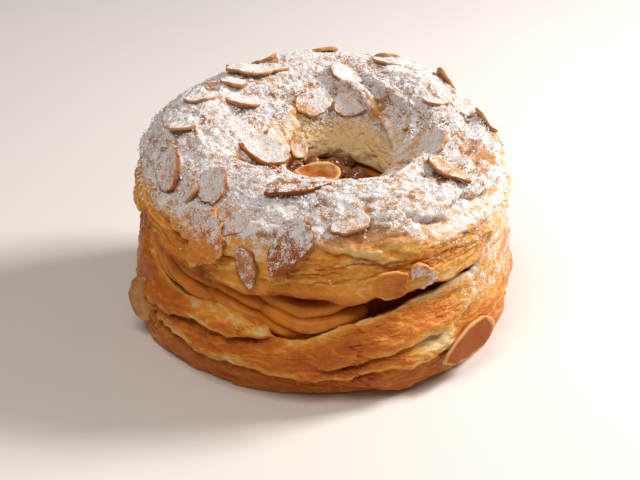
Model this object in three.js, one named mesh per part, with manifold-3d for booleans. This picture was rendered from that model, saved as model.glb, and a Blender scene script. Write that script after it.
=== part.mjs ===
// A single-portion Paris-Brest: a ring of baked choux, cut in two, with piped
// praline cream between the halves, caramelised nuts in its hole and almond
// flakes on its crust. Millimetres, +Z up. The origin is the middle of the
// underside, and the side with the widest view of the cream faces -Y.

import * as THREE from "three";
import { mergeVertices } from "three/addons/utils/BufferGeometryUtils.js";
import Module from "manifold-3d";

const wasm = await Module();
wasm.setup();

// The ring
const RING_RADIUS = 46;
const HOLE_RADIUS = 12.8;
const HOLE_SHIFT = 2.4; // the lid's hole lies this far to +X
const FOOT_RADIUS = 41.5; // outer edge of the flat underside
const GAP = 0.35; // clearance between touching pieces
const BODY_PLAY = 0.65; // clearance of the cream's flat faces

// The cut: the lid's underside and the base's floor are two leaning planes
const LID_PLANE = 34.6;
const LID_LEAN = 0.135; // rise for each millimetre towards +Y
const LID_CREST = 18; // height of the lid's crest over its plane
const FLOOR_PLANE = 19.2;
const FLOOR_LEAN = 0.065;
const BASE_HOLE_RADIUS = 10.5;
const RIM_PLAY = 1.1; // least height of the lid's edge over the base's rim

// The piped cream
const ROPE_RADIUS = 3.1;
const ROPE_COUNT = 18;
const ROPE_SPAN = 36; // degrees of the ring that one rope crosses
const FRONT_ROPES = { 1: [-4, 0], 2: [1, 2.8], 3: [-3, 1.2] }; // degrees turned, and depth sunk
const CREAM_RADIUS = 39.2;
const NUT_WELL = 14.2; // radius of the sunken cream that carries the nuts
const NUT_BED = 3; // depth of that cream under the lid's plane

// Almond flakes and caramelised nuts
const FLAKE_THICKNESS = 1.15;
const NUT_RADIUS = 2.5;
const NUT_COUNT = 14;
const HEAP_RADIUS = 12.6;
const HEAP_SHIFT = 0.6; // the heap lies this far to +X

const AROUND = 56; // facets round a ring
const radians = THREE.MathUtils.degToRad;

// A bell of height 1 round the ring, with centre and width in degrees.
function bell(angle, centre, width) {
  const off = THREE.MathUtils.euclideanModulo(angle - radians(centre) + Math.PI, 2 * Math.PI) - Math.PI;
  return Math.exp(-((off / radians(width)) ** 2));
}

// 1 between two angles in degrees, falling to 0 over 7 degrees past each.
function span(angle, from, to) {
  const middle = (from + to) / 2;
  const off = THREE.MathUtils.euclideanModulo(angle - radians(middle) + Math.PI, 2 * Math.PI) - Math.PI;
  const past = Math.abs(off) - radians((to - from) / 2);
  return 1 - THREE.MathUtils.smoothstep(past, -radians(7), radians(7));
}

// Slow uneven swelling of the dough over a ring, between -1 and 1.
function swelling(angle, turn, seed) {
  let sum = 0;
  for (let k = 1; k <= 6; k += 1) {
    sum += Math.sin((1 + 2 * k) * angle + (1 + (k % 3)) * turn + seed * 1.7 + k * 2.4) / k;
  }
  return sum / 2.45;
}

// Height of the torn rim of the base and of the lid's lower edge.
function lidEdge(angle) {
  const raised = 4.2 * bell(angle, -157, 12) + 1.1 * bell(angle, -100, 6);
  const torn = 0.5 * Math.sin(11 * angle + 1) + 0.35 * Math.sin(23 * angle);
  return raised + torn - 2.4 * bell(angle, -10, 22);
}

function baseRim(angle) {
  const ledge = 2.4 * bell(angle, -46, 10) + 2.8 * bell(angle, -63, 9);
  const slope = 25.4 + 4 * Math.sin(angle) + 2.4 * Math.cos(angle) + ledge;
  const raised = 4.2 * bell(angle, -163, 10) + 6 * span(angle, -33, 34) + 7 * span(angle, -203, -166);
  const torn = 0.4 * swelling(angle, 0, 3) - 4.8 * bell(angle, -99, 12);
  const underLid = LID_PLANE + LID_LEAN * RING_RADIUS * Math.sin(angle) + lidEdge(angle) - RIM_PLAY;
  return Math.min(slope + raised + torn, underLid);
}

// A fold is a crease round part of the ring with a roll of dough over it.
// Its height runs from the first to the second between its two angles.
const BASE_FOLDS = [
  { from: -176, to: -96, low: 11.2, high: 7.8, depth: 2.6, width: 1.8, roll: 0.9 },
  { from: -160, to: -104, low: 13.4, high: 17.2, depth: 1.5, width: 1.7, roll: 1.5 },
  { from: -88, to: -44, low: 11.2, high: 17.8, depth: 3.0, width: 1.7, roll: 1.2 },
  { from: -100, to: -52, low: 7.2, high: 9.8, depth: 1.5, width: 1.4, roll: 0.8 },
  { from: -34, to: 48, low: 12.0, high: 17.5, depth: 2.0, width: 1.8, roll: 1.0 },
  { from: 30, to: 112, low: 9.0, high: 13.0, depth: 2.3, width: 1.7, roll: 1.1 },
  { from: 84, to: 172, low: 19.5, high: 13.5, depth: 2.2, width: 1.9, roll: 1.2 },
  { from: 140, to: 206, low: 7.5, high: 9.5, depth: 1.8, width: 1.5, roll: 0.9 },
];
const LID_FOLDS = [
  { from: -62, to: -12, low: 14.4, high: 10.8, depth: 2.4, width: 1.5, roll: 0.9 },
  { from: -150, to: -112, low: 8.6, high: 6.6, depth: 1.0, width: 1.6, roll: 0.7 },
  { from: -92, to: -70, low: 11.4, high: 7.0, depth: 0.9, width: 1.3, roll: 0.8 },
  { from: 6, to: 78, low: 7.2, high: 10.6, depth: 1.9, width: 1.7, roll: 0.9 },
  { from: 62, to: 140, low: 11.4, high: 6.8, depth: 1.8, width: 1.6, roll: 1.0 },
  { from: 128, to: 186, low: 6.4, high: 9.8, depth: 1.5, width: 1.6, roll: 0.8 },
];

function foldRelief(folds, angle, height) {
  let relief = 0;
  for (const fold of folds) {
    const shown = span(angle, fold.from, fold.to);
    const middle = radians((fold.from + fold.to) / 2);
    const off = THREE.MathUtils.euclideanModulo(angle - middle + Math.PI, 2 * Math.PI) - Math.PI;
    const along = THREE.MathUtils.clamp(0.5 + off / radians(fold.to - fold.from), 0, 1);
    const waver = 0.7 * Math.sin(9 * angle + fold.from) + 0.4 * Math.sin(17 * angle + fold.to);
    const crease = THREE.MathUtils.lerp(fold.low, fold.high, along) + waver;
    const above = (height - crease) / fold.width;
    relief += shown * (fold.roll * Math.exp(-((above - 1.9) ** 2)) - fold.depth * Math.exp(-(above ** 2)));
  }
  return relief;
}

// The lid's section at an angle, anticlockwise from its lower outer edge. Each
// point has a radius and a height over the lid's plane.
function lidSection(angle) {
  const outer = RING_RADIUS + 0.8 * swelling(angle, 0, 1) - 0.5 * Math.cos(angle);
  const inner = HOLE_RADIUS + HOLE_SHIFT * Math.cos(angle) + 0.5 * Math.sin(5 * angle);
  const shoulder = 0.4 * Math.cos(angle) + 1.3 * bell(angle, -45, 32) + 1.0 * bell(angle, 145, 30);
  const crest = LID_CREST - 0.8 * Math.cos(angle) + 0.7 * swelling(angle, 0, 5) - 0.8 * bell(angle, 68, 24);
  const edge = lidEdge(angle);
  return [
    [outer - 0.7, edge],
    [outer, edge * 0.6 + 3.6],
    [outer - 0.6 - 0.4 * shoulder, 8.4],
    [outer - 4.2 - shoulder, 13.8],
    [outer - 10.4 - shoulder, crest - 1],
    [outer - 17, crest],
    [inner + 10.4, crest - 2],
    [inner + 5.4, crest - 5.8],
    [inner + 1.8, crest - 9.8],
    [inner, 4.6],
    [inner + 0.3, 0.9],
    [inner + 2.6, 0],
    [31, 0],
    [CREAM_RADIUS + 1, 0],
    [outer - 3, Math.max(1.4, edge + 0.9)],
  ];
}

// The base's section, from the outer edge of its flat foot.
function baseSection(angle) {
  const outer = RING_RADIUS + 0.3 + 0.7 * swelling(angle, 0, 2);
  const rim = baseRim(angle);
  const floor = FLOOR_PLANE + FLOOR_LEAN * CREAM_RADIUS * Math.sin(angle);
  const foot = FOOT_RADIUS + 0.7 * swelling(angle, 0, 7) - 2.2 * Math.cos(angle);
  const tuck = 1.5 * bell(angle, -90, 50) - 0.9 * bell(angle, -165, 35);
  return [
    [foot - tuck, 0],
    [outer - 1.6 - tuck, 2.6],
    [outer + 0.1, 7.2],
    [outer + 0.2, 12.5],
    [outer - 0.3, Math.max(rim - 4, 14.5)],
    [outer - 1.9, rim],
    [outer - 3.6, rim - 1.2],
    [CREAM_RADIUS + 1.1, floor + 0.6],
    [CREAM_RADIUS - 2, floor],
    [22, FLOOR_PLANE + FLOOR_LEAN * 22 * Math.sin(angle)],
    [BASE_HOLE_RADIUS + 1.8, FLOOR_PLANE - 1],
    [BASE_HOLE_RADIUS, FLOOR_PLANE - 6],
    [BASE_HOLE_RADIUS + 0.4, 6],
    [BASE_HOLE_RADIUS + 2.6, 1.2],
    [BASE_HOLE_RADIUS + 6, 0],
  ];
}

// How far the baked surface stands out of its section, in millimetres.
function lidRelief(angle, turn, height, radius) {
  const crust = THREE.MathUtils.smoothstep(height, 1.5, 5);
  const lumps = 0.75 * swelling(angle, turn, 11) + 0.35 * swelling(2 * angle, 2 * turn, 4);
  const outside = THREE.MathUtils.smoothstep(radius, 30, 38);
  return crust * (lumps + outside * foldRelief(LID_FOLDS, angle, height));
}

function baseRelief(angle, turn, height, radius) {
  const outside = THREE.MathUtils.smoothstep(radius, 40, 43) * THREE.MathUtils.smoothstep(height, 0.5, 3);
  const lumps = 0.7 * swelling(angle, turn, 8) + 0.3 * swelling(2 * angle, 3 * turn, 6);
  return outside * (lumps + foldRelief(BASE_FOLDS, angle, height));
}

// Facets on each stretch between two points of a section: most of them where
// the crust shows.
const LID_STEPS = [2, 3, 3, 3, 2, 2, 2, 2, 2, 1, 1, 1, 1, 1, 2];
const BASE_STEPS = [2, 3, 3, 3, 3, 2, 1, 1, 1, 1, 1, 1, 1, 1, 1];

function sharesOf(steps) {
  return steps.flatMap((count, stretch) =>
    Array.from({ length: count }, (_, k) => (stretch + k / count) / steps.length));
}

// A surface point of a ring at an angle and a share of the way round its
// section, stood out by its relief and by grow.
function ringPoint(section, relief, angle, share, grow) {
  const points = section(angle).map(([radius, height]) => new THREE.Vector3(radius, height, 0));
  const curve = new THREE.CatmullRomCurve3(points, true, "centripetal");
  const point = curve.getPoint(share);
  const tangent = curve.getTangent(share);
  const out = grow + relief(angle, share * 2 * Math.PI, point.y, point.x);
  return { radius: point.x + tangent.y * out, height: point.y - tangent.x * out };
}

const lidPlaneAt = (x, y) => LID_PLANE + LID_LEAN * y;

function lidPoint(angle, share, grow = 0) {
  const { radius, height } = ringPoint(lidSection, lidRelief, angle, share, grow);
  const y = radius * Math.sin(angle);
  return new THREE.Vector3(radius * Math.cos(angle), y, lidPlaneAt(0, y) + height);
}

function basePoint(angle, share, grow = 0) {
  const { radius, height } = ringPoint(baseSection, baseRelief, angle, share, grow);
  return new THREE.Vector3(radius * Math.cos(angle), radius * Math.sin(angle), Math.max(height, -grow));
}

// A closed ring turned on a lathe, with each of its points then set by place.
function ringGeometry(place, steps, around = AROUND, grow = 0) {
  const shares = sharesOf(steps);
  const along = shares.length;
  const section = Array.from({ length: along + 1 }, (_, j) => new THREE.Vector2(1, j));
  const geometry = new THREE.LatheGeometry(section, around);
  const position = geometry.getAttribute("position");
  for (let i = 0; i <= around; i += 1) {
    for (let j = 0; j <= along; j += 1) {
      const point = place(((i % around) / around) * 2 * Math.PI, shares[j % along], grow);
      position.setXYZ(i * (along + 1) + j, point.x, point.y, point.z);
    }
  }
  return geometry;
}

function solidOf(geometry) {
  const bare = geometry.clone();
  bare.deleteAttribute("normal");
  bare.deleteAttribute("uv");
  const merged = mergeVertices(bare, 1e-4);
  const mesh = new wasm.Mesh({
    numProp: 3,
    vertProperties: Float32Array.from(merged.attributes.position.array),
    triVerts: Uint32Array.from(merged.index.array),
  });
  const solid = new wasm.Manifold(mesh);
  if (solid.volume() > 0) return solid;
  mesh.triVerts.reverse();
  return new wasm.Manifold(mesh);
}

const largestOf = (solid) => solid.decompose().sort((a, b) => b.volume() - a.volume())[0];

function meshOf(name, solid, finish) {
  const { numProp, vertProperties, triVerts } = largestOf(solid).getMesh();
  const geometry = new THREE.BufferGeometry();
  geometry.setAttribute("position", new THREE.BufferAttribute(vertProperties, numProp));
  geometry.setIndex(new THREE.BufferAttribute(triVerts, 1));
  const mesh = new THREE.Mesh(geometry, new THREE.MeshStandardMaterial({ metalness: 0, ...finish }));
  mesh.name = name;
  return mesh;
}

// One almond flake: a thin slice with one blunt and one pointed end, lying in
// its own XY plane with its length along X.
function flakeGeometry(length, width) {
  const outline = new THREE.Shape();
  outline.moveTo(length / 2, 0);
  outline.quadraticCurveTo(length * 0.28, width * 0.5, -length * 0.14, width * 0.5);
  outline.quadraticCurveTo(-length * 0.5, width * 0.42, -length * 0.5, 0);
  outline.quadraticCurveTo(-length * 0.5, -width * 0.42, -length * 0.14, -width * 0.5);
  outline.quadraticCurveTo(length * 0.28, -width * 0.5, length / 2, 0);
  const flat = { depth: FLAKE_THICKNESS, bevelEnabled: false, curveSegments: 2 };
  return new THREE.ExtrudeGeometry(outline, flat).translate(0, 0, -FLAKE_THICKNESS / 2);
}

// A flake on a ring's surface. Its angle and its share of the section give its
// middle and heading turns its point in the surface, from anticlockwise round
// the ring. Pitch lifts one long edge, tip lifts the point and lift raises the
// whole flake out of the crust. Angles are in degrees.
function flakeOn(place, flake) {
  const angle = radians(flake.angle);
  const here = place(angle, flake.share);
  const ahead = place(angle + 0.05, flake.share).sub(place(angle - 0.05, flake.share)).normalize();
  const over = place(angle, flake.share + 0.05).sub(place(angle, flake.share - 0.05)).normalize();
  const normal = new THREE.Vector3().crossVectors(ahead, over).normalize();
  const side = new THREE.Vector3().crossVectors(normal, ahead);
  const frame = new THREE.Matrix4().makeBasis(ahead, side, normal);
  frame.multiply(new THREE.Matrix4().makeRotationZ(radians(flake.heading)));
  frame.multiply(new THREE.Matrix4().makeRotationY(-radians(flake.tip ?? 0)));
  frame.multiply(new THREE.Matrix4().makeRotationX(radians(flake.pitch ?? 0)));
  frame.setPosition(here.addScaledVector(normal, flake.lift));
  return solidOf(flakeGeometry(flake.length, flake.width).applyMatrix4(frame));
}

const LID_FLAKES = [
  { angle: 127, share: 0.32, heading: 157, length: 15, width: 9, pitch: -14, lift: 0.9 },
  { angle: 146, share: 0.35, heading: 117, length: 8, width: 7.5, pitch: -16, lift: 0.8 },
  { angle: 156, share: 0.39, heading: 131, length: 8, width: 6.5, pitch: -16, lift: 0.7 },
  { angle: 166, share: 0.31, heading: 107, length: 7, width: 6, pitch: -14, lift: 0.4 },
  { angle: -171, share: 0.285, heading: 70, length: 7, width: 5.5, pitch: -18, lift: 0.5 },
  { angle: -152, share: 0.216, heading: -24, length: 15, width: 10, pitch: 12, lift: 0.7 },
  { angle: -139, share: 0.216, heading: -73, length: 5.5, width: 4, pitch: 35, lift: 0.4 },
  { angle: -134, share: 0.248, heading: -42, length: 11, width: 9.5, pitch: 16, lift: 0.6 },
  { angle: -121, share: 0.196, heading: 20, length: 10.5, width: 8, pitch: 12, lift: 0.9 },
  { angle: -127, share: 0.14, heading: -92, length: 13, width: 12, pitch: 14, lift: 0.9 },
  { angle: -112, share: 0.09, heading: -79, length: 13, width: 5.5, pitch: 10, lift: 0.3 },
  { angle: -100, share: 0.164, heading: -115, length: 16, width: 9, pitch: 12, lift: 0.7 },
  { angle: -82, share: 0.22, heading: -160, length: 10, width: 7, pitch: 14, lift: 0.5 },
  { angle: -100, share: 0.33, heading: -149, length: 16, width: 6.5, pitch: 14, lift: 0.4 },
  { angle: -137, share: 0.43, heading: 2, length: 20, width: 9, pitch: -14, lift: 1.2 },
  { angle: -136, share: 0.385, heading: -8, length: 13, width: 5, pitch: -18, lift: 0.7 },
  { angle: 158, share: 0.53, heading: 130, length: 9, width: 8, pitch: -12, lift: 0.6 },
  { angle: 128, share: 0.575, heading: 127, length: 7, width: 6, pitch: -10, lift: 0.4 },
  { angle: 97, share: 0.452, heading: -147, length: 11.5, width: 8.5, pitch: -14, lift: 0.6 },
  { angle: 79, share: 0.368, heading: 169, length: 9, width: 7, pitch: -14, lift: 0.5 },
  { angle: 72, share: 0.448, heading: -156, length: 10, width: 7, pitch: -14, lift: 0.4 },
  { angle: 64, share: 0.252, heading: 159, length: 9, width: 6, pitch: -8, lift: 0.8 },
  { angle: 24, share: 0.304, heading: -85, length: 8, width: 7, pitch: -12, lift: 0.4 },
  { angle: 20, share: 0.244, heading: 69, length: 7, width: 6, pitch: -12, lift: 0.4 },
  { angle: -13, share: 0.428, heading: 80, length: 21, width: 8, pitch: 14, lift: 0.8 },
  { angle: -32, share: 0.256, heading: -90, length: 12, width: 8, pitch: -14, lift: 0.7 },
  { angle: 12, share: 0.19, heading: -140, length: 10, width: 5, pitch: -8, tip: 8, lift: 1.1 },
  { angle: 28, share: 0.444, heading: 77, length: 6, width: 5, pitch: 20, lift: 0.4 },
  { angle: -8, share: 0.4, heading: 90, length: 7, width: 4.5, pitch: 16, lift: 0.4 },
  { angle: -72, share: 0.056, heading: 170, length: 11, width: 7, pitch: -16, lift: 0.5 },
  { angle: -61, share: 0.064, heading: 138, length: 8, width: 6, pitch: -16, lift: 0.5 },
];
const BASE_FLAKES = [
  { angle: -38, share: 0.165, heading: -173, length: 19, width: 7, pitch: 8, lift: 0 },
  { angle: -162, share: 0.185, heading: -88, length: 16, width: 9, pitch: -14, lift: 1 },
];

// A few more flakes on the lid's far side, drawn at random.
function farFlakes(count) {
  const draw = (from, to) => THREE.MathUtils.lerp(from, to, THREE.MathUtils.seededRandom());
  THREE.MathUtils.seededRandom(21);
  return Array.from({ length: count }, (_, k) => ({
    angle: 44 + (100 / count) * k + draw(-5, 5),
    share: draw(0.17, 0.26),
    heading: draw(-180, 180),
    length: draw(9, 13),
    width: draw(6, 8),
    pitch: draw(-12, 12),
    lift: 0.5,
  }));
}

const flakesOn = (place, flakes) => flakes.map((flake) => flakeOn(place, flake));
const lidFlakes = flakesOn(lidPoint, [...LID_FLAKES, ...farFlakes(4)]);
const lidRing = solidOf(ringGeometry(lidPoint, LID_STEPS));
const baseRing = solidOf(ringGeometry(basePoint, BASE_STEPS));
const lid = wasm.Manifold.union([lidRing, ...lidFlakes]);
const base = wasm.Manifold.union([baseRing, ...flakesOn(basePoint, BASE_FLAKES)]);
const lidRoom = solidOf(ringGeometry(lidPoint, LID_STEPS, AROUND, GAP));
const baseRoom = solidOf(ringGeometry(basePoint, BASE_STEPS, AROUND, GAP));

// The cream's body: a thick disc between the two planes that also fills the
// upper part of the base's hole, where it carries the nuts.
function creamBody() {
  const section = [
    [0, 1], [NUT_WELL, 1], [NUT_WELL + 0.2, 1], [CREAM_RADIUS - 1, 1], [CREAM_RADIUS, 0.8],
    [CREAM_RADIUS, 0.2], [CREAM_RADIUS - 1, 0], [NUT_WELL, 0], [BASE_HOLE_RADIUS - 1.2, -1], [0, -1],
  ];
  const geometry = new THREE.LatheGeometry(section.map(([r, s]) => new THREE.Vector2(r, s)), 44);
  const position = geometry.getAttribute("position");
  for (let i = 0; i < position.count; i += 1) {
    const x = position.getX(i);
    const y = position.getZ(i);
    const level = position.getY(i);
    const radius = Math.hypot(x, y);
    const recess = 1 - 0.12 * span(Math.atan2(y, x), -74, -26) * THREE.MathUtils.smoothstep(radius, 30, 38);
    const low = FLOOR_PLANE + BODY_PLAY + FLOOR_LEAN * y;
    const dip = radius < NUT_WELL + 0.1 ? NUT_BED : BODY_PLAY;
    const high = lidPlaneAt(x, y) - dip;
    const height = level < 0 ? FLOOR_PLANE - 6 : THREE.MathUtils.lerp(low, high, level);
    position.setXYZ(i, x * recess, y * recess, height);
  }
  return solidOf(geometry);
}

// One piped rope of cream: it leaves the lid's underside and runs round the
// ring and down to a blunt end on the base's rim.
class RopePath extends THREE.Curve {
  constructor(start, bulge, sunk) {
    super();
    this.start = start;
    this.bulge = bulge;
    this.sunk = sunk;
  }

  getPoint(t, target = new THREE.Vector3()) {
    const angle = this.start + radians(ROPE_SPAN) * t;
    const radius = CREAM_RADIUS - 2.2 + this.bulge * Math.sin(Math.PI * (0.12 + 0.8 * t)) ** 0.7;
    const y = radius * Math.sin(angle);
    const top = lidPlaneAt(0, y) - 2.6 + 0.5 * lidEdge(angle) - this.sunk;
    const bottom = Math.min(baseRim(angle), top - 3) + 1.6;
    return target.set(radius * Math.cos(angle), y, THREE.MathUtils.lerp(top, bottom, t ** 0.85));
  }
}

function ropes() {
  const made = [];
  for (let k = 0; k < ROPE_COUNT; k += 1) {
    const [turned, sunk] = FRONT_ROPES[k] ?? [0, 0];
    const start = radians(-172 + turned + (360 / ROPE_COUNT) * k + 2.5 * Math.sin(5 * k));
    const middle = start + radians(ROPE_SPAN / 2);
    if (span(middle, -72, -18) > 0.2) continue;
    const path = new RopePath(start, 5.4 + 0.6 * Math.sin(3 * k), sunk);
    const ring = new THREE.Shape().absarc(0, 0, ROPE_RADIUS, 0, 2 * Math.PI);
    const round = { steps: 4, curveSegments: 3, extrudePath: path };
    made.push(solidOf(new THREE.ExtrudeGeometry(ring, round)));
  }
  return made;
}

const cream = wasm.Manifold.union([creamBody(), ...ropes()]).subtract(lidRoom).subtract(baseRoom);

// The nuts in the hole: rough pieces of caramelised nut on a low mound, with
// one almond flake lying across them.
function nutHeap() {
  const mound = new THREE.CylinderGeometry(HEAP_RADIUS - 1.2, HEAP_RADIUS, 2.4, 14).rotateX(Math.PI / 2);
  const shear = new THREE.Matrix4().set(1, 0, 0, 0, 0, 1, 0, 0, 0, LID_LEAN, 1, 0, 0, 0, 0, 1);
  const bed = LID_PLANE - NUT_BED + GAP;
  const pieces = [solidOf(mound.translate(0, 0, 1.2).applyMatrix4(shear).translate(HEAP_SHIFT, 0, bed))];
  THREE.MathUtils.seededRandom(5);
  for (let k = 0; k < NUT_COUNT; k += 1) {
    const radius = (HEAP_RADIUS - 2.3) * Math.sqrt((k + 0.4) / NUT_COUNT);
    const angle = 2.4 * k;
    const draw = () => THREE.MathUtils.seededRandom();
    const nut = new THREE.IcosahedronGeometry(NUT_RADIUS * (0.8 + 0.3 * draw()), 0);
    nut.scale(1.1, 0.95, 0.85).rotateX(6 * draw()).rotateY(6 * draw());
    const y = radius * Math.sin(angle);
    nut.translate(HEAP_SHIFT + radius * Math.cos(angle), y, bed + 3.1 + LID_LEAN * y + 0.9 * draw());
    pieces.push(solidOf(nut));
  }
  const across = flakeGeometry(14, 6.5).rotateX(radians(-16)).rotateZ(radians(176));
  pieces.push(solidOf(across.translate(-2, 3.4, bed + 6.4)));
  return wasm.Manifold.union(pieces).subtract(lidRoom);
}

const paris = new THREE.Group();
paris.add(meshOf("choux_base", base, { color: "#c98d45", roughness: 0.7 }));
paris.add(meshOf("praline_cream", cream, { color: "#c98a3c", roughness: 0.5 }));
paris.add(meshOf("choux_lid", lid, { color: "#e6c79b", roughness: 0.75 }));
paris.add(meshOf("praline_nuts", nutHeap(), { color: "#7a3f16", roughness: 0.3 }));

// The finished group stands with the middle of its outline over the origin.
const outline = new THREE.Box3().setFromObject(paris);
const middle = outline.getCenter(new THREE.Vector3());
for (const mesh of paris.children) mesh.geometry.translate(-middle.x, -middle.y, -outline.min.z);

export default paris;
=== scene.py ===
"""A single-portion Paris-Brest, dressed for rendering.

A ring of baked choux is cut in two, with piped praline cream between the
halves, caramelised nuts in its hole, and almond flakes and powdered sugar on
its crust. Sizes are in millimetres in this file and in metres in the meshes.
Angles round the ring are anticlockwise from +X, and the side with the widest
view of the cream faces -Y.
"""

import math
from collections import namedtuple

import bmesh
import bpy
import numpy as np
from bpy.props import FloatProperty, FloatVectorProperty, IntProperty, PointerProperty
from mathutils import Matrix, Vector


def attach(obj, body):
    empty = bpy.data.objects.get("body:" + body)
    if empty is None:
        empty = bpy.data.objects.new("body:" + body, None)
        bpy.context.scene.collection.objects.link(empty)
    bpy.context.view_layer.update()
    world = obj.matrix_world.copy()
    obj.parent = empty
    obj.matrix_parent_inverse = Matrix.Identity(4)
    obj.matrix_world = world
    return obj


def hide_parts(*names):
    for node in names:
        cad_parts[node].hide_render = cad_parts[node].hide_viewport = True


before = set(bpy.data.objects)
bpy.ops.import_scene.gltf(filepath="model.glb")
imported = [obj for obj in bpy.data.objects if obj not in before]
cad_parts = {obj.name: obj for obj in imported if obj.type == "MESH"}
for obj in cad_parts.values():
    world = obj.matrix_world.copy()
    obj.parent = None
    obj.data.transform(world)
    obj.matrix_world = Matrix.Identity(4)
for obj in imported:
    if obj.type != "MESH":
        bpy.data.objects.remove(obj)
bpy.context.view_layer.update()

bl_info = {
    "name": "Paris-Brest",
    "version": (1, 0, 0),
    "blender": (4, 5, 0),
    "location": "View3D > Sidebar > Paris-Brest",
    "description": "Makes a choux ring with praline cream, nuts, almond flakes and sugar",
    "category": "Add Mesh",
}

MM = 0.001
TAU = 2 * math.pi

# The ring
RING_RADIUS = 46.0
HOLE_RADIUS = 12.8
HOLE_SHIFT = 2.4
FOOT_RADIUS = 41.5
CENTRE_SHIFT = (-0.060, -0.158)

# The cut: the lid's underside and the base's floor are two leaning planes
LID_PLANE = 34.6
LID_LEAN = 0.135
LID_CREST = 18.0
FLOOR_PLANE = 19.2
FLOOR_LEAN = 0.065
BASE_HOLE_RADIUS = 10.5
RIM_PLAY = 1.1

# The piped cream: each rope is two strands. The front ropes, counted from the
# first, are turned by so many degrees and sunk by so many millimetres
STRAND_RADIUS = 1.9
STRAND_APART = 1.85
STRAND_END = 0.09
STRAND_FACETS = (64, 24)
ROPE_COUNT = 18
ROPE_SPAN = 36.0
FIRST_ROPE = -172
FRONT_ROPES = {1: (-4, 0), 2: (1, 2.8), 3: (-3, 1.2)}
CREAM_RADIUS = 39.2
BODY_PLAY = 0.65
NUT_WELL = 14.2
NUT_BED = 3.0
# Between these angles the cream lies deep, and the narrower stretch has no rope
CREAM_RECESS = (-74, -26)
NO_ROPE = (-72, -18)

# Almond flakes and caramelised nuts. A flake is widest at a share of half its
# length behind its middle
FLAKE_THICKNESS = 0.92
FLAKE_WAIST = 0.28
HEAP_RADIUS = 12.6
HEAP_SHIFT = 0.6
GAP = 0.35
NUT_RADIUS = 2.5
NUT_COUNT = 14
SMALL_NUTS = 24
SPIRAL_TURN = 2.4
NUT_SHAPE = (1.1, 0.95, 0.85)
SMALL_NUT_SHAPE = (1.1, 0.9, 0.9)
# Nuts placed one by one, on the heap and at the hole's edge
TOP_NUTS = ((-7.5, 5.5), (-3, 7.6), (2, 7.2), (7, 1.5), (8.2, -3), (-8.4, 1))
EDGE_NUTS = ((11.6, 0.2), (11.0, 3.8), (10.6, -4.2), (12.4, -2.0), (9.0, 7.4))

# How sharp the lip over a crease is, and how far it is torn, in millimetres
LIP_SHARPNESS = 3.0
LIP_TEAR = 0.55

# Folds of the dough: start and end are angles, low and high are heights there,
# depth and width are the crease's, and the roll swells over it
Fold = namedtuple("Fold", "start end low high depth width roll")
BASE_FOLDS = (
    Fold(-176, -96, 11.2, 7.8, 2.6, 1.8, 0.9),
    Fold(-160, -104, 13.4, 17.2, 1.5, 1.7, 1.5),
    Fold(-88, -44, 11.2, 17.8, 3.0, 1.7, 1.2),
    Fold(-100, -52, 7.2, 9.8, 1.5, 1.4, 0.8),
    Fold(-34, 48, 12.0, 17.5, 2.0, 1.8, 1.0),
    Fold(30, 112, 9.0, 13.0, 2.3, 1.7, 1.1),
    Fold(84, 172, 19.5, 13.5, 2.2, 1.9, 1.2),
    Fold(140, 206, 7.5, 9.5, 1.8, 1.5, 0.9),
)
LID_FOLDS = (
    Fold(-62, -12, 14.4, 10.8, 1.7, 1.5, 0.9),
    Fold(-150, -112, 8.6, 6.6, 1.0, 1.6, 0.7),
    Fold(-92, -70, 11.4, 7.0, 0.9, 1.3, 0.8),
    Fold(6, 78, 7.2, 10.6, 1.9, 1.7, 0.9),
    Fold(62, 140, 11.4, 6.8, 1.8, 1.6, 1.0),
    Fold(128, 186, 6.4, 9.8, 1.5, 1.6, 0.8),
)

# Fine cracks in the lid's crust
LID_CRACKS = (
    Fold(-103, -86, 6.4, 5.6, 0.8, 0.3, 0.35),
    Fold(-95, -80, 4.2, 4.8, 0.8, 0.3, 0.3),
    Fold(-112, -100, 3.0, 3.8, 0.7, 0.3, 0.3),
    Fold(-88, -68, 8.4, 7.4, 0.8, 0.32, 0.4),
    Fold(-66, -40, 6.6, 5.2, 0.8, 0.3, 0.4),
    Fold(-44, -16, 8.2, 6.4, 0.7, 0.3, 0.3),
    Fold(10, 40, 5.0, 6.0, 0.8, 0.3, 0.4),
    Fold(60, 96, 4.2, 6.2, 0.8, 0.3, 0.4),
    Fold(120, 150, 6.0, 4.6, 0.8, 0.3, 0.4),
    Fold(166, 192, 5.0, 6.4, 0.8, 0.3, 0.4),
)

# The skin flakes off in layers, which end where a slow noise has these levels.
# Its grain is drawn out along the ring
LAYER_LEVELS = (-0.25, 0.03, 0.3)
GRAIN_STRETCH = 3.2
# How craggy and how pitted each half's skin is
CRAGGY = {"lid": 1.0, "base": 0.6}
PITTED = {"lid": 0.24, "base": 0.13}
SECTION_STEPS = {
    "lid": (14, 20, 20, 20, 20, 18, 16, 14, 12, 8, 4, 3, 2, 4, 6),
    "base": (14, 20, 24, 24, 22, 14, 8, 6, 4, 3, 3, 3, 3, 3, 4),
}

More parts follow.
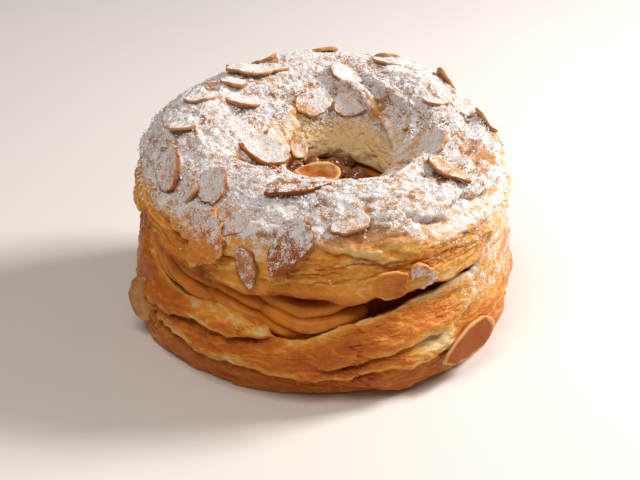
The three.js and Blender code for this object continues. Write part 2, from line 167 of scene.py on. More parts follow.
# Almond flakes: angle round the ring, share of the way round its section,
# heading of the point, length, width, pitch of the long edges and lift. Where
# given, how toasted the flake is, how much sugar it carries and how much more
# toasted its rim is
LID_FLAKES = (
    (127, 0.32, 157, 15, 9, -8, 0.9),
    (146, 0.35, 117, 8.5, 5.4, -24, 0.8),
    (156, 0.39, 131, 9, 5.0, -24, 0.7),
    (166, 0.31, 107, 8, 4.4, -20, 0.5),
    (-171, 0.285, 70, 7, 5.5, -18, 0.5),
    (-152, 0.216, -24, 16.5, 8, 14, 0.7, 0.5, 0.75, 0.3),
    (-139, 0.216, -73, 5.5, 4, 35, 0.4),
    (-134, 0.248, -42, 11, 9, 16, 0.6, 0.45, 0.75, 0.3),
    (-121, 0.196, 20, 10.5, 8, 12, 0.9, 0.4, 0.75, 0.2),
    (-112, 0.09, -79, 13, 5.5, 10, 1.2, 0.6, 0.8),
    (-100, 0.164, -115, 16, 9, 12, 1.6, 0.8, 0.8),
    (-82, 0.22, -160, 10, 7, 14, 0.5),
    (-103, 0.317, -149, 16, 6.5, 14, 0.5, 0.95, 0.7),
    (-137, 0.43, 2, 20, 8.5, 30, 2.4, 0.35, 0.9),
    (-138, 0.41, 4, 17, 6, 4, 0.9, 0.8, -0.6),
    (158, 0.53, 130, 9, 8, -12, 0.6),
    (128, 0.575, 127, 7, 6, -10, 0.4),
    (97, 0.452, -147, 11.5, 8.5, -14, 0.6),
    (79, 0.368, 169, 9, 7, -14, 0.5),
    (72, 0.448, -156, 10, 7, -14, 0.4),
    (64, 0.252, 159, 9, 6, -8, 0.8),
    (24, 0.304, -85, 8, 7, -12, 0.4),
    (20, 0.244, 69, 7, 6, -12, 0.4),
    (-13, 0.428, 80, 21, 8.5, -14, 1.0, 0.3, 0.95),
    (-32, 0.256, -90, 12, 8, -14, 0.7, 0.5, 0.45),
    (12, 0.19, -140, 10, 5, -8, 0.8),
    (28, 0.444, 77, 6, 5, 20, 0.4),
    (-8, 0.4, 90, 7, 4.5, 16, 0.4),
)
BASE_FLAKES = ((-42, 0.165, -170, 20, 8.2, 8, 1.1, 1.1, -0.6, -0.8),)
# Peeled chips of crust and a flap of it, in the form of the flakes
LID_CHIPS = (
    (-127, 0.14, -92, 13, 12.5, 14, 0.9, 0.5, 0.8),
    (-72, 0.056, 170, 11, 7.5, -20, 0.6, 0.5, -0.6),
    (-61, 0.064, 138, 8, 6, -20, 0.2, 0.5, 5.0),
)
LEFT_FLAP = ((-162, 0.185, -88, 15, 8, -14, 1.5, 0.5, -0.6),)

# Ridges on the lid: the angles and the shares of the section between which
# they run, and their height
LID_SWIRLS = (
    (-5, 72, 0.47, 0.34, 1.5),
    (8, 84, 0.52, 0.40, 1.1),
    (22, 96, 0.50, 0.36, 1.2),
    (-66, -8, 0.31, 0.40, 0.8),
    (-178, -112, 0.29, 0.37, 0.7),
    (98, 150, 0.44, 0.34, 0.7),
    (-30, 20, 0.26, 0.20, 0.8),
)

# The camera's place, and where the picture's middle lies from the ring's axis
PICTURE = (640, 480)
LENS = 100.0
SENSOR = 36.0
CAMERA_DISTANCE = 461.2
CAMERA_ELEVATION = math.radians(29.46)
CAMERA_ROLL = math.radians(0.95)
CAMERA_DROP = 1.3
AXIS_OFFSET = (2.56, 74.55)

# Lights: place and size in metres, power in watts, and colour
LIGHTS = {
    "key": ((0.40, 0.12, 0.34), 0.14, 3.9, (1.0, 0.995, 0.985)),
    "front": ((-0.12, -0.28, 0.54), 0.3, 1.9, (1.0, 0.95, 0.9)),
}
LIGHT_AIM = (0, 0, 0.03)
SKY_COLOUR = (1.0, 0.92, 0.84, 1)
SKY_STRENGTH = 0.18
FLOOR_TONES = ((0.70, 0.66, 0.62, 1), (0.73, 0.69, 0.65, 1))


# How far light spreads in each colour, and how much each half's crust deepens each colour of its baking. The
# base's deeper colours are partly painted shade.
SKIN_SCATTER = (1.0, 0.55, 0.25)
CRUST_DEPTH = {"lid": (1.0, 1.0, 1.0), "base": (0.93, 0.80, 0.5)}


class ParisSizes(bpy.types.PropertyGroup):
    """Sizes of the finish, in metres, and how finely the pieces are made."""

    around: IntProperty(name="Facets round", description="Facets round a half of the ring", default=540)
    along: IntProperty(name="Facets along", description="Facets round a section", default=178)
    sugar_depth: FloatProperty(
        name="Sugar depth", description="Thickness of the closed sugar", default=0.0004, unit="LENGTH"
    )
    grain_radius: FloatProperty(
        name="Sugar grain", description="Radius of a clump of sugar", default=0.00022, unit="LENGTH"
    )
    grain_count: IntProperty(name="Sugar grains", description="Number of loose clumps", default=7000)


class ParisColours(bpy.types.PropertyGroup):
    """Colours of the pastry."""

    def colour(name, red, green, blue):
        return FloatVectorProperty(
            name=name, description=f"Colour of the {name.lower()}", subtype="COLOR", size=4,
            default=(red, green, blue, 1.0), min=0.0, max=1.0,
        )

    crumb: colour("Crumb", 0.72, 0.50, 0.25)
    pale_crust: colour("Pale crust", 0.78, 0.39, 0.075)
    golden_crust: colour("Golden crust", 0.66, 0.22, 0.018)
    brown_crust: colour("Brown crust", 0.45, 0.108, 0.008)
    dark_crust: colour("Dark crust", 0.15, 0.034, 0.005)
    dusty_crust: colour("Dusty crust", 0.37, 0.19, 0.09)
    cream: colour("Praline cream", 0.64, 0.20, 0.012)
    # The sugar's slight warm tint is painted warm bounce light.
    sugar: colour("Powdered sugar", 0.80, 0.765, 0.76)
    almond: colour("Almond", 0.74, 0.43, 0.17)
    toasted_almond: colour("Toasted almond", 0.29, 0.068, 0.006)
    caramel: colour("Caramel", 0.11, 0.028, 0.006)
    caramel_glow: colour("Caramel glow", 0.30, 0.08, 0.014)


def sizes():
    return bpy.context.scene.paris_sizes


def colours():
    return bpy.context.scene.paris_colours


# Shape of the dough


def wrapped(angle, centre):
    """Angle from a centre in degrees, between half a turn each way."""
    return (angle - math.radians(centre) + math.pi) % TAU - math.pi


def near(value, centre, width):
    """1 at a centre, falling off on both sides of it over a width."""
    return np.exp(-(((value - centre) / width) ** 2))


def bell(angle, centre, width):
    return near(wrapped(angle, centre), 0, math.radians(width))


def smoothstep(value, low, high):
    share = np.clip((value - low) / (high - low), 0, 1)
    return share * share * (3 - 2 * share)


def span(angle, start, end, soft=7):
    past = np.abs(wrapped(angle, (start + end) / 2)) - math.radians((end - start) / 2)
    return 1 - smoothstep(past, -math.radians(soft), math.radians(soft))


def swelling(angle, turn, seed):
    total = 0
    for k in range(1, 7):
        total = total + np.sin((1 + 2 * k) * angle + (1 + k % 3) * turn + seed * 1.7 + k * 2.4) / k
    return total / 2.45


def lattice(cell, seed):
    """A random number between -1 and 1 for each whole-numbered cell."""
    x, y, z = (cell[:, k].astype(np.int64) for k in range(3))
    mixed = (x * 374761393 + y * 668265263 + z * 1274126177 + seed * 974634777) & 0xFFFFFFFF
    mixed = ((mixed ^ (mixed >> 13)) * 1103515245) & 0xFFFFFFFF
    mixed = mixed ^ (mixed >> 16)
    return (mixed & 0xFFFF) / 32767.5 - 1


def noise(points, size, seed=0):
    """Smooth noise between -1 and 1 at points, with lumps of a size."""
    scaled = points / size
    cell = np.floor(scaled)
    part = scaled - cell
    part = part * part * (3 - 2 * part)
    total = np.zeros(len(points))
    for corner in range(8):
        step = np.array([corner & 1, (corner >> 1) & 1, corner >> 2])
        weight = np.prod(np.where(step, part, 1 - part), axis=1)
        total += weight * lattice(cell + step, seed)
    return total


def fractal(points, size, seed=0, octaves=4):
    total = np.zeros(len(points))
    for k in range(octaves):
        total += noise(points, size / 2**k, seed + k) / 2**k
    return total / 1.6


def lid_edge(angle):
    raised = 4.2 * bell(angle, -157, 12) + 1.1 * bell(angle, -100, 6)
    torn = 0.5 * np.sin(11 * angle + 1) + 0.35 * np.sin(23 * angle)
    return raised + torn - 2.4 * bell(angle, -10, 22)


def base_rim(angle):
    ledge = 2.4 * bell(angle, -46, 10) + 2.8 * bell(angle, -63, 9)
    slope = 25.4 + 4 * np.sin(angle) + 2.4 * np.cos(angle) + ledge
    raised = 4.2 * bell(angle, -163, 10) + 6 * span(angle, -33, 34) + 7 * span(angle, -203, -166)
    torn = 0.4 * swelling(angle, 0, 3) - 4.8 * bell(angle, -99, 12)
    under_lid = LID_PLANE + LID_LEAN * RING_RADIUS * np.sin(angle) + lid_edge(angle) - RIM_PLAY
    return np.minimum(slope + raised + torn, under_lid)


def lid_section(angle):
    """Radius and height over the lid's plane of each point of its section."""
    outer = RING_RADIUS + 0.8 * swelling(angle, 0, 1) - 0.5 * np.cos(angle)
    inner = HOLE_RADIUS + HOLE_SHIFT * np.cos(angle) + 0.5 * np.sin(5 * angle)
    shoulder = 0.4 * np.cos(angle) + 1.3 * bell(angle, -45, 32) + bell(angle, 145, 30)
    crest = LID_CREST - 0.8 * np.cos(angle) + 0.7 * swelling(angle, 0, 5) - 0.8 * bell(angle, 68, 24)
    edge = lid_edge(angle)
    return (
        (outer - 0.7, edge),
        (outer, edge * 0.6 + 3.6),
        (outer - 0.6 - 0.4 * shoulder, 8.4),
        (outer - 4.2 - shoulder, 13.8),
        (outer - 10.4 - shoulder, crest - 1),
        (outer - 17, crest),
        (inner + 10.4, crest - 2),
        (inner + 5.4, crest - 5.8),
        (inner + 1.8, crest - 9.8),
        (inner, 4.6),
        (inner + 0.3, 0.9),
        (inner + 2.6, 0),
        (31, 0),
        (CREAM_RADIUS + 1, 0),
        (outer - 3, np.maximum(1.4, edge + 0.9)),
    )


def base_section(angle):
    outer = RING_RADIUS + 0.3 + 0.7 * swelling(angle, 0, 2)
    rim = base_rim(angle)
    floor = FLOOR_PLANE + FLOOR_LEAN * CREAM_RADIUS * np.sin(angle)
    foot = FOOT_RADIUS + 0.7 * swelling(angle, 0, 7) - 2.2 * np.cos(angle)
    tuck = 1.5 * bell(angle, -90, 50) - 0.9 * bell(angle, -165, 35)
    return (
        (foot - tuck, 0),
        (outer - 1.6 - tuck, 2.6),
        (outer + 0.1, 7.2),
        (outer + 0.2, 12.5),
        (outer - 0.3, np.maximum(rim - 4, 14.5)),
        (outer - 1.9, rim),
        (outer - 3.6, rim - 1.2),
        (CREAM_RADIUS + 1.1, floor + 0.6),
        (CREAM_RADIUS - 2, floor),
        (22, FLOOR_PLANE + FLOOR_LEAN * 22 * np.sin(angle)),
        (BASE_HOLE_RADIUS + 1.8, FLOOR_PLANE - 1),
        (BASE_HOLE_RADIUS, FLOOR_PLANE - 6),
        (BASE_HOLE_RADIUS + 0.4, 6),
        (BASE_HOLE_RADIUS + 2.6, 1.2),
        (BASE_HOLE_RADIUS + 6, 0),
    )


def on_section(section, angle, share):
    """Points of a section's smooth closed outline, and its directions there."""
    corners = np.array([
        [np.broadcast_to(np.asarray(value, float), angle.shape) for value in pair] for pair in section(angle)
    ])
    at = np.asarray(share) * len(corners)
    start = np.floor(at).astype(int)
    part = (at - start)[:, None]
    rows = np.arange(len(angle))
    before, first, second, after = (corners[(start + k) % len(corners), :, rows] for k in (-1, 0, 1, 2))
    legs = (first - before, second - first, after - second)
    steps = [np.linalg.norm(leg, axis=1)[:, None] ** 0.5 for leg in legs]
    gap = second - first
    leave = gap + steps[1] * ((first - before) / steps[0] - (second - before) / (steps[0] + steps[1]))
    reach = gap + steps[1] * ((after - second) / steps[2] - (after - first) / (steps[1] + steps[2]))
    square = 3 * gap - 2 * leave - reach
    cube = leave + reach - 2 * gap
    point = first + part * (leave + part * (square + part * cube))
    slope = leave + part * (2 * square + 3 * part * cube)
    return point, slope / np.linalg.norm(slope, axis=1)[:, None]


def fold_relief(folds, angle, height):
    """How far the folds stand out and their lips droop, and what dresses the creases.

    The last is how deep in a crease, in its nook and on its lip each point lies, for painted shade in creases
    and nooks and a painted highlight on lips.
    """
    relief = np.zeros_like(angle)
    droop = np.zeros_like(angle)
    crease_depth = np.zeros_like(angle)
    nook = np.zeros_like(angle)
    lip = np.zeros_like(angle)
    for fold in folds:
        shown = span(angle, fold.start, fold.end)
        turn = wrapped(angle, (fold.start + fold.end) / 2) / math.radians(fold.end - fold.start)
        along = np.clip(0.5 + turn, 0, 1)
        waver = 0.7 * np.sin(9 * angle + fold.start) + 0.4 * np.sin(17 * angle + fold.end)
        torn = 0.35 * np.sin(41 * angle + fold.low) + 0.2 * np.sin(73 * angle + fold.high)
        crease = fold.low + (fold.high - fold.low) * along + waver + torn * LIP_TEAR
        above = (height - crease) / fold.width
        hollow = near(above * np.where(above > 0, LIP_SHARPNESS, 0.85), 0, 1)
        relief += shown * (fold.roll * near(above, 1.3, 1) - 1.15 * fold.depth * hollow)
        droop += shown * 0.55 * fold.depth * near(above, 0.6, 0.55)
        weight = min(1, fold.depth / 2)
        crease_depth = np.maximum(crease_depth, shown * hollow * weight)
        nook = np.maximum(nook, shown * weight * near(above, -0.05, 0.28))
        lip = np.maximum(lip, shown * weight * near(above, 0.7, 0.4))
    return relief, droop, np.stack([crease_depth, nook, lip])


def swirl_relief(angle, share):
    """Ridges of dough that wind up from the hole over the lid, each with a groove beside it."""
    relief = np.zeros_like(angle)
    for start, end, low, high, rise in LID_SWIRLS:
        turn = wrapped(angle, (start + end) / 2) / math.radians(end - start)
        centre = low + (high - low) * np.clip(0.5 + turn, 0, 1) + 0.004 * np.sin(9 * angle)
        off = (share - centre) / 0.017
        ridge = near(off, 0, 1) - 0.9 * near(off, 1.7, 0.7)
        relief += span(angle, start, end, 10) * rise * ridge
    return relief


def outer_side(radius):
    """1 on the ring's outside and 0 further in."""
    return smoothstep(radius, 40, 43)


def lid_relief(angle, turn, height, radius):
    crust = smoothstep(height, 1.5, 5)
    lumps = 0.75 * swelling(angle, turn, 11) + 0.35 * swelling(2 * angle, 2 * turn, 4)
    folds, droop, crease = fold_relief(LID_FOLDS + LID_CRACKS, angle, height)
    outside = smoothstep(radius, 30, 38)
    lumps = lumps + swirl_relief(angle, turn / TAU)
    return crust * (lumps + outside * folds), crust * outside * droop, crust * outside * crease


def base_relief(angle, turn, height, radius):
    outside = outer_side(radius) * smoothstep(height, 0.5, 3)
    lumps = 0.7 * swelling(angle, turn, 8) + 0.3 * swelling(2 * angle, 3 * turn, 6)
    folds, droop, crease = fold_relief(BASE_FOLDS, angle, height)
    return outside * (lumps + folds), outside * droop, outside * crease


Dough = namedtuple("Dough", "place normal height radius crease")


def surface(half, angle, share):
    """Points of the lid or the base, with the direction out of the crust and what dresses them."""
    angle = np.asarray(angle, float)
    share = np.asarray(share, float)
    section, relief = (lid_section, lid_relief) if half == "lid" else (base_section, base_relief)
    point, slope = on_section(section, angle, share)
    out, droop, crease = relief(angle, share * TAU, point[:, 1], point[:, 0])
    radius = point[:, 0] + slope[:, 1] * out - slope[:, 0] * droop
    height = point[:, 1] - slope[:, 0] * out - slope[:, 1] * droop
    place = np.stack([radius * np.cos(angle), radius * np.sin(angle), height], axis=1)
    normal = np.stack([slope[:, 1] * np.cos(angle), slope[:, 1] * np.sin(angle), -slope[:, 0]], axis=1)
    if half == "lid":
        place[:, 2] += LID_PLANE + LID_LEAN * place[:, 1]
    else:
        place[:, 2] = np.maximum(place[:, 2], 0)
    place[:, :2] += CENTRE_SHIFT
    return Dough(place, normal, height, radius, crease)


# Meshes and objects


def add_object(name, mesh, material):
    mesh.polygons.foreach_set("use_smooth", [True] * len(mesh.polygons))
    mesh.materials.append(material)
    piece = bpy.data.objects.new(name, mesh)
    bpy.context.scene.collection.objects.link(piece)
    return piece


def coordinates(mesh):
    flat = np.empty(len(mesh.vertices) * 3)
    mesh.vertices.foreach_get("co", flat)
    return flat.reshape(-1, 3)


def centred(points):
    """Points moved so that the middle of the outline is over the origin."""
    points[:, :2] += CENTRE_SHIFT
    return points


def set_coordinates(mesh, points):
    mesh.vertices.foreach_set("co", (np.asarray(points) * MM).ravel())
    mesh.update()


def set_attribute(mesh, name, values):
    layer = mesh.attributes.get(name) or mesh.attributes.new(name, "FLOAT", "POINT")
    layer.data.foreach_set("value", np.asarray(values, dtype=np.float32))


def mesh_from(bm, name):
    mesh = bpy.data.meshes.new(name)
    bm.to_mesh(mesh)
    bm.free()
    return mesh


def thicken(bm):
    """Turn flat faces into a slab one unit thick."""
    made = bmesh.ops.extrude_face_region(bm, geom=bm.faces[:])
    raised = [item for item in made["geom"] if isinstance(item, bmesh.types.BMVert)]
    bmesh.ops.translate(bm, verts=raised, vec=(0, 0, 1))
    bmesh.ops.recalc_face_normals(bm, faces=bm.faces)


def spun_ring(name, along, around):
    """A closed ring of quads. Returns its mesh, and each point's angle and share."""
    middle = 3
    bm = bmesh.new()
    stand = Matrix.Translation((middle, 0, 0)) @ Matrix.Rotation(math.pi / 2, 4, "X")
    bmesh.ops.create_circle(bm, segments=along, radius=1, matrix=stand)
    outline = bm.verts[:] + bm.edges[:]
    bmesh.ops.spin(bm, geom=outline, cent=(0, 0, 0), axis=(0, 0, 1), angle=TAU, steps=around, use_merge=True)
    bmesh.ops.recalc_face_normals(bm, faces=bm.faces)
    mesh = mesh_from(bm, name)
    points = coordinates(mesh)
    angle = np.arctan2(points[:, 1], points[:, 0])
    turn = np.arctan2(points[:, 2], np.hypot(points[:, 0], points[:, 1]) - middle)
    return mesh, angle, (turn / TAU) % 1


def joined(name, parts):
    """One object made of many."""
    bpy.ops.object.select_all(action="DESELECT")
    for part in parts:
        part.select_set(True)
    bpy.context.view_layer.objects.active = parts[0]
    bpy.ops.object.join()
    parts[0].name = name
    parts[0].data.name = name
    return parts[0]


def finish_piece(piece, material_slot, *nodes):
    if nodes:
        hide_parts(*nodes)
    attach(piece, "root")


def uneven(steps, total):
    """Even steps redrawn so that each stretch of a section gets its own share."""
    edges = np.concatenate([[0], np.cumsum(steps)]) / sum(steps)
    even = np.arange(total) / total
    return np.interp(even, edges, np.arange(len(steps) + 1) / len(steps))


# Materials


class Shading:
    """A material's node tree, with short ways to add to it."""

    def __init__(self, name):
        self.material = bpy.data.materials.new(name)
        self.material.use_nodes = True
        self.tree = self.material.node_tree
        self.tree.nodes.clear()
        self.output = self.tree.nodes.new("ShaderNodeOutputMaterial")
        coordinates_node = self.tree.nodes.new("ShaderNodeTexCoord")
        self.mapping = self.tree.nodes.new("ShaderNodeMapping")
        self.mapping.inputs["Scale"].default_value = (1 / MM, 1 / MM, 1 / MM)
        self.link(coordinates_node.outputs["Object"], self.mapping.inputs["Vector"])

    def link(self, source, target):
        self.tree.links.new(source, target)

    def set_input(self, node, name, value):
        if isinstance(value, bpy.types.NodeSocket):
            self.link(value, node.inputs[name])
        else:
            node.inputs[name].default_value = value

    def stretched(self, flatten):
        """Coordinates in which a noise is drawn out along the ring."""
        node = self.tree.nodes.new("ShaderNodeMapping")
        node.inputs["Scale"].default_value = (1, 1, flatten)
        self.link(self.mapping.outputs["Vector"], node.inputs["Vector"])
        return node.outputs["Vector"]

    def noise(self, size, detail=3.0, roughness=0.55, vector=None):
        node = self.tree.nodes.new("ShaderNodeTexNoise")
        self.link(vector or self.mapping.outputs["Vector"], node.inputs["Vector"])
        node.inputs["Scale"].default_value = 1 / size
        node.inputs["Detail"].default_value = detail
        node.inputs["Roughness"].default_value = roughness
        return node.outputs["Fac"]

    def attribute(self, name):
        node = self.tree.nodes.new("ShaderNodeAttribute")
        node.attribute_name = name
        return node.outputs["Fac"]

    def math(self, operation, first, second=0.0, clamp=False):
        node = self.tree.nodes.new("ShaderNodeMath")
        node.operation = operation
        node.use_clamp = clamp
        self.set_input(node, 0, first)
        self.set_input(node, 1, second)
        return node.outputs[0]

    def plus(self, first, second, clamp=False):
        return self.math("ADD", first, second, clamp)

    def minus(self, first, second):
        return self.math("SUBTRACT", first, second)

    def times(self, first, second):
        return self.math("MULTIPLY", first, second)

    def swing(self, noise, size):
        """A noise as a swing to both sides of zero."""
        return self.times(self.minus(noise, 0.5), size)

    def between(self, value, low, high):
        node = self.tree.nodes.new("ShaderNodeMapRange")
        node.interpolation_type = "SMOOTHSTEP"
        self.set_input(node, "Value", value)
        node.inputs["From Min"].default_value = low
        node.inputs["From Max"].default_value = high
        return node.outputs["Result"]

    def ramp(self, value, stops):
        node = self.tree.nodes.new("ShaderNodeValToRGB")
        self.set_input(node, "Fac", value)
        elements = node.color_ramp.elements
        while len(elements) < len(stops):
            elements.new(0.5)
        for element, (position, colour) in zip(elements, stops):
            element.position = position
            element.color = colour
        return node.outputs["Color"]

    def mix(self, share, first, second):
        node = self.tree.nodes.new("ShaderNodeMix")
        node.data_type = "RGBA"
        self.set_input(node, 0, share)
        self.set_input(node, 6, first)
        self.set_input(node, 7, second)
        return node.outputs[2]

    def bump(self, height, distance, strength=1.0, normal=None):
        node = self.tree.nodes.new("ShaderNodeBump")
        node.inputs["Strength"].default_value = strength
        node.inputs["Distance"].default_value = distance
        self.link(height, node.inputs["Height"])
        if normal is not None:
            self.link(normal, node.inputs["Normal"])
        return node.outputs["Normal"]

    def surface(self, **values):
        node = self.tree.nodes.new("ShaderNodeBsdfPrincipled")
        for name, value in values.items():
            self.set_input(node, name.replace("_", " "), value)
        return node.outputs["BSDF"]

    def blend(self, share, first, second):
        node = self.tree.nodes.new("ShaderNodeMixShader")
        self.link(share, node.inputs[0])
        self.link(first, node.inputs[1])
        self.link(second, node.inputs[2])
        return node.outputs["Shader"]

    def finish(self, shader):
        self.link(shader, self.output.inputs["Surface"])
        return self.material


def darker(colour, share):
    """A colour times a share, still opaque."""
    return tuple(share * value for value in colour[:3]) + (1.0,)


def sugared(shading, under):
    """Powdered sugar over a shader, closed or in specks as the piece's sugar attribute says."""
    amount = shading.attribute("sugar")
    speck = shading.noise(0.42, detail=3, roughness=0.7)
    drift = shading.swing(shading.noise(2.2, detail=4, roughness=0.6), 3.0)
    level = shading.plus(amount, shading.times(drift, shading.between(amount, 0.0, 0.35)))
    reach = shading.times(shading.math("POWER", shading.math("MAXIMUM", level, 0.0), 0.5), 0.41)
    edge = shading.minus(shading.plus(reach, 0.2), speck)
    film = shading.times(shading.between(level, 0.3, 1.0), 0.2)
    grains = shading.times(shading.between(edge, -0.09, 0.09), shading.minus(1.0, film))
    cover = shading.plus(film, grains)
    normal = shading.bump(shading.noise(0.45, detail=3, roughness=0.75), 0.0004, 1.0)
    normal = shading.bump(shading.noise(1.5, detail=3, roughness=0.6), 0.0014, 0.8, normal)
    powder = shading.surface(
        Base_Color=tuple(colours().sugar), Roughness=0.95, Normal=normal,
        Subsurface_Weight=0.15, Subsurface_Radius=(0.5, 0.45, 0.4), Subsurface_Scale=0.6 * MM,
    )
    return shading.blend(cover, under, powder)


def crust_stops(depth):
    """The colours of baking. The browner one is, the more the depth deepens it."""
    shades = colours()
    golden_at = 0.46
    stops = []
    for at, shade in (
        (0.0, shades.crumb), (0.2, shades.pale_crust), (golden_at, shades.golden_crust),
        (0.76, shades.brown_crust), (1.0, shades.dark_crust),
    ):
        share = min(1.0, 0.15 + at / golden_at)
        deepened = (part * (1 - share + share * less) for part, less in zip(shade[:3], depth))
        stops.append((at, tuple(deepened) + (1.0,)))
    return stops


def crust_material(name, depth):
    """Baked crust, from crumb to dark brown. The depth deepens its colours."""
    shading = Shading(name)
    bake_and_shading = shading.attribute("bake_and_shading")
    flat = shading.stretched(2.4)
    patches = shading.noise(3.4, detail=5, roughness=0.62, vector=flat)
    freckles = shading.noise(0.8, detail=3, roughness=0.65)
    tone = shading.plus(bake_and_shading, shading.swing(patches, 0.55))
    tone = shading.plus(tone, shading.swing(freckles, 0.4), clamp=True)
    dusty = shading.times(shading.attribute("dusty"), 0.75)
    colour = shading.mix(dusty, shading.ramp(tone, crust_stops(depth)), tuple(colours().dusty_crust))
    gloss = shading.between(shading.noise(2.2, detail=2), 0.3, 0.7)
    rough = shading.plus(shading.times(gloss, 0.26), 0.26)
    relief = shading.bump(shading.noise(0.5, detail=4, roughness=0.7), 0.0003, 0.8)
    wrinkles = shading.noise(1.6, detail=4, roughness=0.6, vector=flat)
    relief = shading.bump(wrinkles, 0.0008, 0.7, relief)
    crust = shading.surface(
        Base_Color=colour, Roughness=rough, Normal=relief, Specular_IOR_Level=0.25,
        Subsurface_Weight=0.18, Subsurface_Radius=SKIN_SCATTER, Subsurface_Scale=1.2 * MM,
    )
    return shading.finish(sugared(shading, crust))


def cream_material():
    shading = Shading("praline_cream")
    cream = tuple(colours().cream)
    tone = shading.between(shading.noise(4.0, detail=3), 0.3, 0.75)
    speck = shading.between(shading.noise(0.8, detail=2, roughness=0.6), 0.66, 0.74)
    colour = shading.mix(speck, shading.mix(tone, cream, darker(cream, 0.72)), darker(cream, 0.35))
    relief = shading.bump(shading.noise(1.1, detail=3), 0.00025, 0.6)
    return shading.finish(shading.surface(
        Base_Color=colour, Roughness=0.42, Normal=relief, Specular_IOR_Level=0.3,
        Subsurface_Weight=0.35, Subsurface_Radius=(1.0, 0.5, 0.2), Subsurface_Scale=1.8 * MM,
    ))


def almond_material(name, with_sugar, glow=0.35):
    """Almond from pale to toasted. The glow is how much light goes through it."""
    shading = Shading(name)
    almond, toasted = tuple(colours().almond), tuple(colours().toasted_almond)
    between = tuple(0.5 * (a + b) for a, b in zip(almond, toasted))
    patches = shading.swing(shading.noise(2.5, detail=3), 0.8)
    tone = shading.plus(shading.attribute("toast"), patches, clamp=True)
    colour = shading.ramp(tone, ((0.1, almond), (0.5, between), (0.85, toasted)))
    streaks = shading.noise(0.8, detail=4, vector=shading.stretched(3.0))
    grain = shading.bump(streaks, 0.0003, 0.7)
    flesh = shading.surface(
        Base_Color=colour, Roughness=0.42, Normal=grain, Specular_IOR_Level=0.15,
        Subsurface_Weight=glow, Subsurface_Radius=(1.0, 0.6, 0.3), Subsurface_Scale=1.2 * MM,
    )
    return shading.finish(sugared(shading, flesh) if with_sugar else flesh)


def caramel_material(name, depth):
    """Caramel over nuts. A smaller depth is darker."""
    shading = Shading(name)
    shades = colours()
    tone = shading.between(shading.noise(1.6, detail=3), 0.4, 0.65)
    colour = shading.mix(tone, darker(shades.caramel, depth), darker(shades.caramel_glow, depth))
    relief = shading.bump(shading.noise(0.7, detail=3), 0.0003, 0.6)
    return shading.finish(shading.surface(
        Base_Color=colour, Roughness=0.22, Normal=relief, Coat_Weight=0.6, Coat_Roughness=0.12,
    ))


def sugar_material():
    shading = Shading("powdered_sugar")
    relief = shading.bump(shading.noise(0.2, detail=2), 0.0001, 0.6)
    tint = shading.mix(shading.noise(4.0), tuple(colours().sugar), (0.84, 0.81, 0.81, 1.0))
    return shading.finish(shading.surface(Base_Color=tint, Roughness=0.95, Normal=relief))


# Sugar on the lid


def scorched(points, height):
    """Where the lid's top is baked brown and the sugar lies thin."""
    return smoothstep(fractal(points, 7, 91), 0.3, 0.55) * smoothstep(height, 9, 13)


def sugar_cover(angle, radius, height, normal, points):
    """How closed the sugar lies: 0 is bare and 1 is white."""
    reach = 6 + 8.5 * bell(angle, -78, 28) + 3.6 * bell(angle, -128, 24) + 2 * bell(angle, -165, 16)
    fade = smoothstep(height, reach - 3.5, reach + 3.5)
    flat = 0.62 + 0.38 * smoothstep(normal[:, 2], 0.0, 0.85)
    side = 0.10 * bell(angle, 140, 60)
    funnel = (1 - smoothstep(radius, 13, 22)) * (1 - smoothstep(height, 9, 16))
    funnel = funnel * (1 - 0.85 * bell(angle, 180, 55))
    patches = 0.30 * fractal(points, 9, 31) + 0.25 * fractal(points, 2.8, 36)
    dust = 0.4 * bell(angle, -14, 32) * (1 - fade) * (1 + fractal(points, 3, 38))
    cover = fade * (0.94 * flat + side + patches) + dust - 0.75 * funnel - 0.6 * scorched(points, height)
    return np.clip(cover, -0.2, 1.1)


# The crust's skin and its baking


def layer_ends(layers, centre, width):
    """How near each point is to where a layer of the skin ends."""
    return sum(near(layers - level, centre, width) for level in LAYER_LEVELS)


def tear_lid_edge(dough, angle, round_ring):
    """Tear the lid's lower edge, and move it out a little."""
    place, normal = dough.place, dough.normal
    edge = near(dough.height, lid_edge(angle), 1.1) * outer_side(dough.radius)
    place[:, 2] -= edge * (1.1 * fractal(round_ring, 2.6, 71, 4) + 0.5)
    place += normal * (0.7 * edge * (normal[:, 2] > -0.6))[:, None]


def skin_relief(half, place, round_ring, layers, stretched):
    """How far the skin stands out, and where it is cracked."""
    craggy = CRAGGY[half]
    plates = sum(smoothstep(layers, level, level + 0.03) for level in LAYER_LEVELS)
    ridges = np.clip(1 - 3.2 * np.abs(fractal(round_ring * np.array([0.6, 1, 1]), 4.2, 81)), 0, 1)
    skin = 0.45 * fractal(place, 6, 3) + 0.48 * craggy * fractal(place, 2.4, 9)
    skin += 0.18 * craggy * stretched
    skin += 0.5 * craggy * (plates - 1.5) + 0.18 * craggy * ridges
    skin += PITTED[half] * fractal(place, 0.9, 14, 2)
    vein = fractal(round_ring * np.array([0.7, 1, 1]), 2.6, 21, 3)
    crack = near(vein, 0, 0.035) * smoothstep(noise(place, 9, 24), 0.0, 0.4)
    return skin - 0.4 * crack, crack


def lid_baking(dough, angle, place, layers):
    """What the lid adds to its baking, its sugar, and how dusty the dough under it is."""
    height, radius = dough.height, dough.radius
    cover = sugar_cover(angle, radius, height, dough.normal, place) - 0.42 * layer_ends(layers, 0, 0.07)
    funnel = (1 - smoothstep(radius, 16, 24)) * (1 - smoothstep(height, 10, 15))
    funnel = funnel * (1 - 0.6 * bell(angle, 180, 50))
    tone_shift = 0.05 * smoothstep(cover, 0.2, 0.8) + 0.25 * scorched(place, height) - 0.75 * funnel
    tone_shift += 0.35 * near(height, lid_edge(angle), 0.7) * (radius > 40) - 0.14 * bell(angle, -12, 32)
    return tone_shift, cover, smoothstep(height, 9.5, 14) * (1 - funnel)


